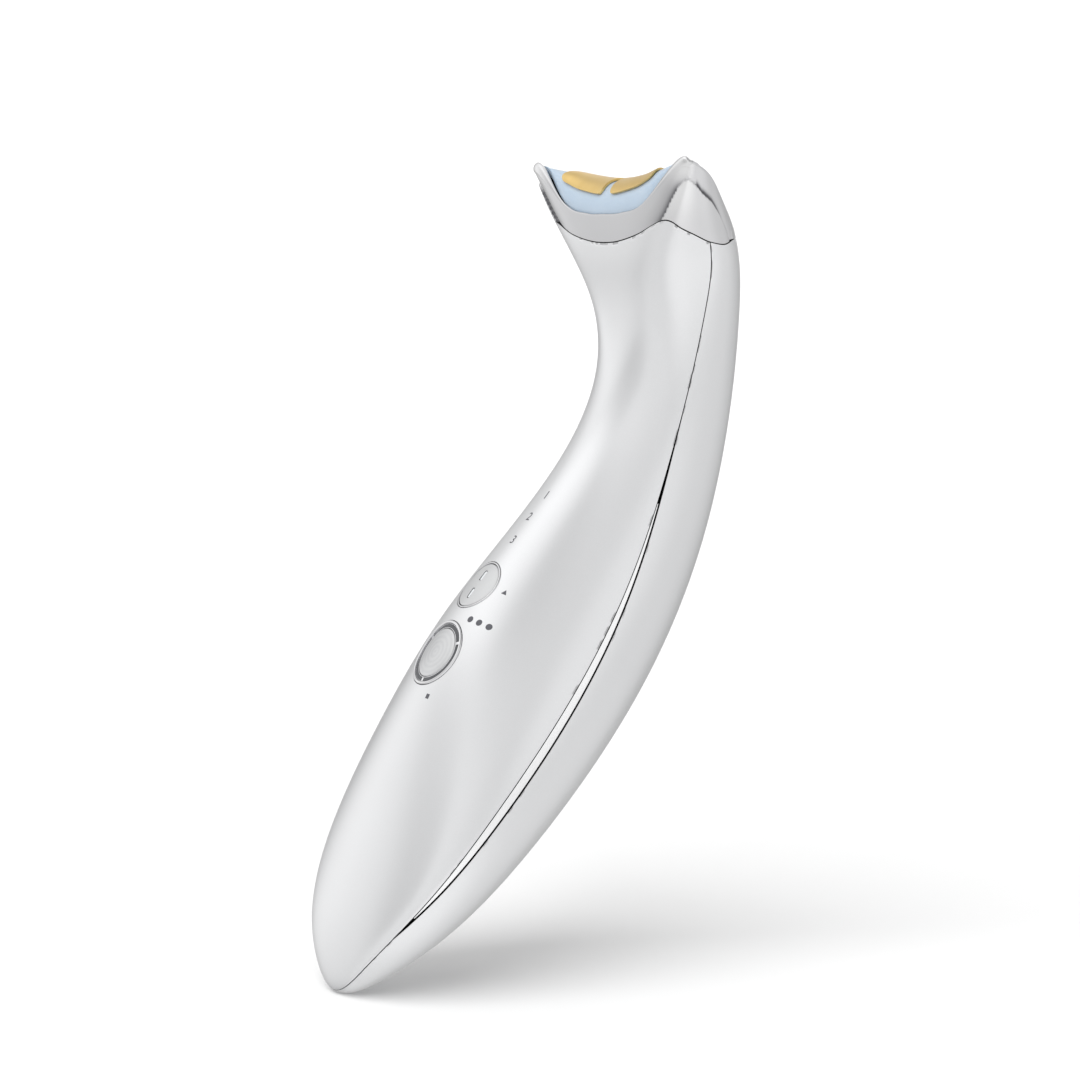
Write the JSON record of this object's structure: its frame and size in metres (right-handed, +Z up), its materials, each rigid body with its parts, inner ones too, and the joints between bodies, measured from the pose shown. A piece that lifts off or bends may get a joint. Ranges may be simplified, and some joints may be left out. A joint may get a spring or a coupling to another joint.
{
  "type": "rf facial lifting device",
  "caption": "Handheld radio-frequency facial device: a curved tapering handle in two shells, a horned saddle head with gold electrodes, and sprung power and mode buttons.",
  "frame": {"origin": "bottom centre of the bounding box, with the device leaning back on its tail tip as pictured", "axes": "+Z up, towards the head's horn tips; -Y towards the buttons on the front; +X towards the side that the picture shows"},
  "size_m": [0.0548, 0.0828, 0.1466],
  "materials": {
    "front_shell": "pearl silver lacquer",
    "back_shell": "pearl silver lacquer",
    "side_trim": "bright silver lacquer",
    "head_bezel": "satin chrome",
    "face_window": "pale blue, glossy",
    "electrode": "gold plated",
    "inner_plastic": "moulded",
    "sensor": "plated",
    "circuit_board": "solder mask",
    "chrome_ring": "polished",
    "light_ring": "smoked",
    "power_cap": "satin silver",
    "switch_stem": "moulded",
    "black_parts": "moulded",
    "mode_cap": "pearl silver lacquer",
    "light_pipe": "clear",
    "screw_steel": "plated",
    "transformer": "ferrite and copper",
    "battery_sleeve": "shrink sleeve",
    "socket_black": "moulded",
    "red_lead": "insulated wire",
    "black_lead": "insulated wire",
    "orange_lead": "insulated wire"
  },
  "bodies": {
    "handle": {"front_shell": "front_shell", "back_shell": "back_shell", "side_trim_right": "side_trim", "side_trim_left": "side_trim", "head_bezel": "head_bezel", "face_window": "face_window", "electrode_right": "electrode", "electrode_left": "electrode", "electrode_carrier": "inner_plastic", "temperature_sensor": "sensor", "head_light_board": "circuit_board", "power_ring": "chrome_ring", "power_light_ring": "light_ring", "power_switch": "black_parts", "mode_ring": "chrome_ring", "mode_switch": "black_parts", "main_board": "circuit_board", "board_screws": "screw_steel", "board_chips": "black_parts", "rf_transformer": "transformer", "battery": "battery_sleeve", "battery_cradle": "inner_plastic", "charge_socket": "socket_black", "electrode_leads": "red_lead", "battery_leads": "black_lead", "charge_leads": "orange_lead"},
    "power_button": {"power_button": "power_cap", "power_stem": "switch_stem"},
    "mode_button": {"mode_button": "mode_cap", "mode_light_pipes": "light_pipe", "mode_stem": "switch_stem"}
  },
  "joints": [
    {"name": "power_press", "type": "slide", "parent": "handle", "child": "power_button", "axis": [0, 0.8047, -0.5937], "range_m": [0, 0.0004], "stiffness_N_per_m": 2500, "springref_m": -0.0002},
    {"name": "mode_press", "type": "slide", "parent": "handle", "child": "mode_button", "axis": [0, 0.8047, -0.5937], "range_m": [0, 0.0004], "stiffness_N_per_m": 2500, "springref_m": -0.0002}
  ]
}
